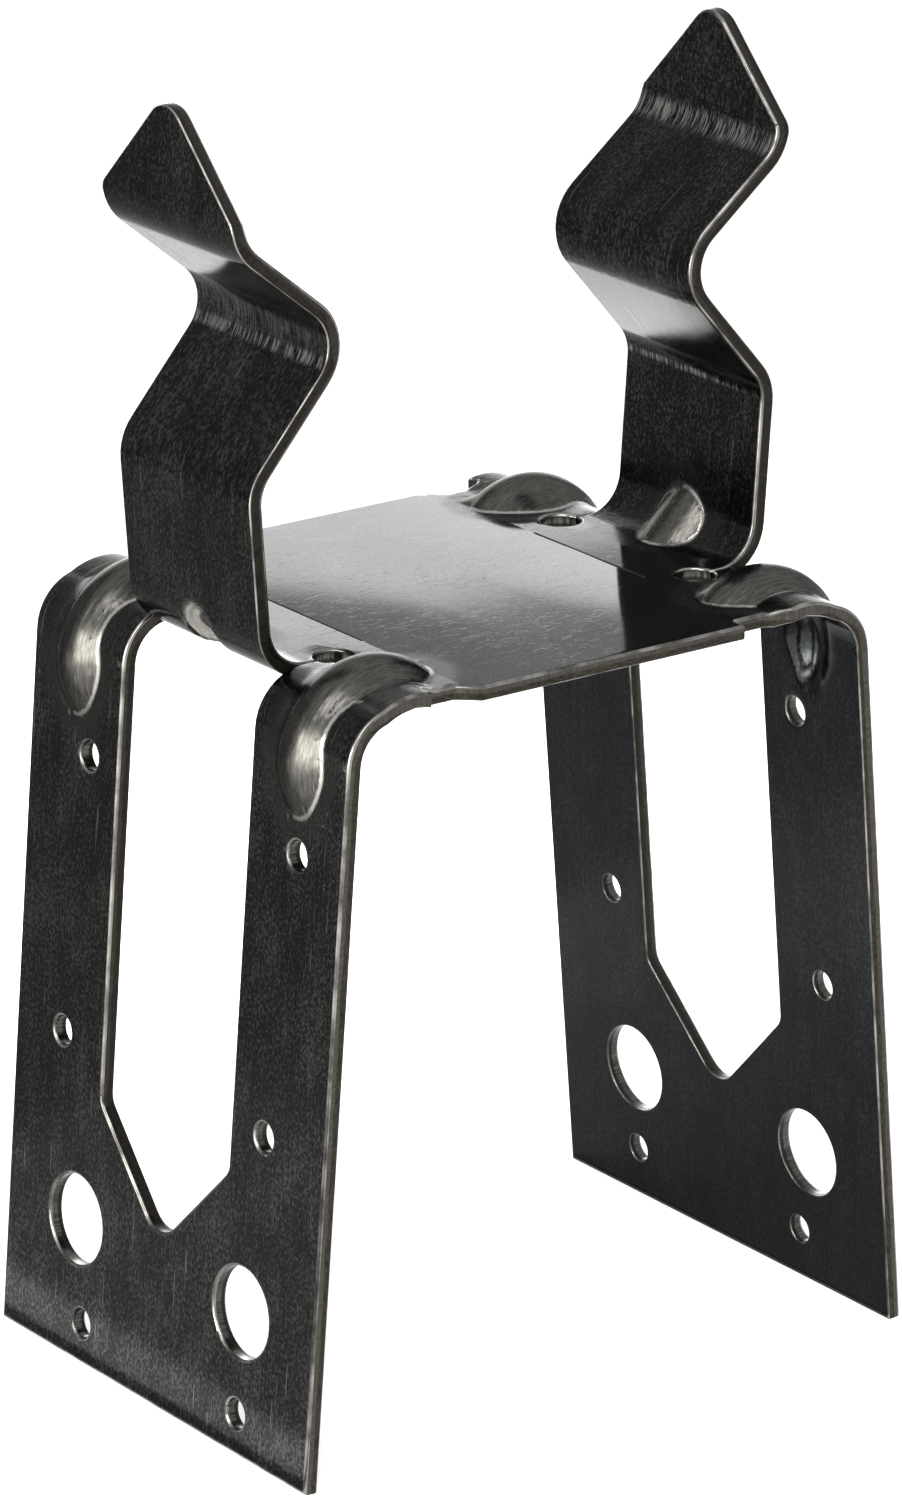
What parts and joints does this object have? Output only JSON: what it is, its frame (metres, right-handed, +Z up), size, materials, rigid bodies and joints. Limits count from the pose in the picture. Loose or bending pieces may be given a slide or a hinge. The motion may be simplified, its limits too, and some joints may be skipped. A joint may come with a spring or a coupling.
{
  "type": "post base",
  "caption": "Folded galvanised steel post base: a deck with two splayed, pierced flanges that hold a timber post and two zigzag prongs that lock into concrete.",
  "frame": {"origin": "middle of the footprint, on the surface that the flanges stand on", "axes": "+X from the left flange to the right one, +Y along the fold lines away from the viewer, +Z up towards the prongs"},
  "size_m": [0.1138, 0.0826, 0.2027],
  "materials": {
    "galvanised_steel": "galvanised sheet with a fine mottled spangle, rolling streaks and bright rubbed folds"
  },
  "bodies": {
    "root": {"post_base": "galvanised_steel"}
  },
  "joints": []
}
